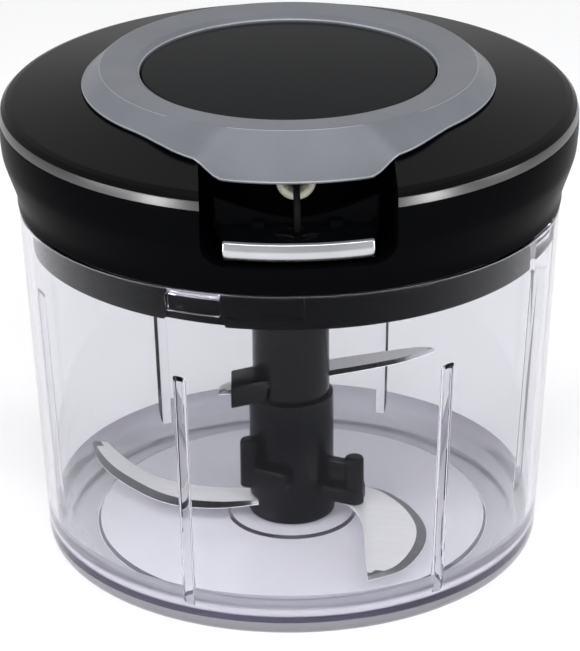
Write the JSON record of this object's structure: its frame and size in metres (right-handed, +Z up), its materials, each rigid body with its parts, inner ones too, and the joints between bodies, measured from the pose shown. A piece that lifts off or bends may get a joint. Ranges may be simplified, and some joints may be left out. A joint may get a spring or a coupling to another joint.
{
  "type": "pull cord food chopper",
  "caption": "Hand food chopper with a clear tapered bowl, a black lid with a pull handle on a cord, and a central knife column with curved blades.",
  "frame": {"origin": "centre of the bowl's resting face, on the axis of the bowl and knife column", "axes": "+Z up along the bowl's axis, -Y towards the pull handle"},
  "size_m": [0.14, 0.1379, 0.1236],
  "materials": {
    "clear_plastic": "clear, polished",
    "gloss_black": "glossy black",
    "satin_black": "satin black",
    "satin_grey": "satin grey",
    "white_plastic": "moulded white",
    "cream_plastic": "moulded cream",
    "clear_rubber": "pale soft rubber",
    "bright_steel": "bright steel",
    "chrome": "chromed",
    "bronze": "plain bearing bronze",
    "cord_fibre": "black braided cord"
  },
  "bodies": {
    "bowl": {"bowl": "clear_plastic", "spindle_pin": "bright_steel"},
    "seal": {"seal_ring": "clear_rubber"},
    "lid": {"lid_base": "gloss_black", "lid_housing": "satin_black", "visor_ring": "satin_grey", "cap_disc": "gloss_black", "cord_eyelet": "cream_plastic", "spring_cup": "bright_steel", "shaft_bush": "bronze", "housing_screw_1": "bright_steel", "housing_screw_2": "bright_steel", "housing_screw_3": "bright_steel", "housing_screw_4": "bright_steel", "pull_cord": "cord_fibre"},
    "reel": {"cord_reel": "white_plastic", "recoil_spring": "bright_steel"},
    "drive": {"drive_shaft": "bright_steel", "drive_dog": "satin_black", "pawl_pin_1": "bright_steel", "pawl_pin_2": "bright_steel"},
    "pawl_1": {"clutch_pawl_1": "white_plastic"},
    "pawl_2": {"clutch_pawl_2": "white_plastic"},
    "handle": {"pull_handle": "gloss_black", "handle_trim": "chrome", "cord_crimp": "bright_steel"},
    "knives": {"knife_column_lower": "gloss_black", "knife_column_upper": "gloss_black", "blade_side": "bright_steel", "blade_front": "bright_steel", "blade_upper": "bright_steel"}
  },
  "joints": [
    {"name": "lid_lift", "type": "slide", "parent": "bowl", "child": "seal", "axis": [0, 0, 1], "range_m": [0, 0.1]},
    {"name": "lid_turn", "type": "hinge", "parent": "seal", "child": "lid", "pos_m": [0, 0, 0.0916], "axis": [0, 0, 1], "range_deg": [-16.5, 0]},
    {"name": "handle_pull", "type": "slide", "parent": "lid", "child": "handle", "axis": [0, -1, 0], "range_m": [0, 0.36], "stiffness_N_per_m": 15, "deforming": ["pull_cord"]},
    {"name": "reel_spin", "type": "hinge", "parent": "lid", "child": "reel", "pos_m": [0, 0, 0.107], "axis": [0, 0, 1], "range_deg": [0, 1366], "deforming": ["recoil_spring"]},
    {"name": "drive_spin", "type": "hinge", "parent": "lid", "child": "drive", "pos_m": [0, 0, 0.0938], "axis": [0, 0, 1], "range_deg": [0, 1366]},
    {"name": "clutch_pawl_1_tilt", "type": "hinge", "parent": "drive", "child": "pawl_1", "pos_m": [0.0059, 0, 0.0962], "axis": [0, 0, -1], "range_deg": [0, 14], "stiffness_Nm_per_rad": 0.001},
    {"name": "clutch_pawl_2_tilt", "type": "hinge", "parent": "drive", "child": "pawl_2", "pos_m": [-0.0059, 0, 0.0962], "axis": [0, 0, -1], "range_deg": [0, 14], "stiffness_Nm_per_rad": 0.001},
    {"name": "knife_spin", "type": "hinge", "parent": "bowl", "child": "knives", "pos_m": [0, 0, 0.0045], "axis": [0, 0, 1], "range_deg": [0, 1366]}
  ],
  "couplings": [
    {"joint": "reel_spin", "follows": "handle_pull", "rad_per_m": 66.225},
    {"joint": "drive_spin", "follows": "handle_pull", "rad_per_m": 66.225},
    {"joint": "knife_spin", "follows": "handle_pull", "rad_per_m": 66.225}
  ]
}
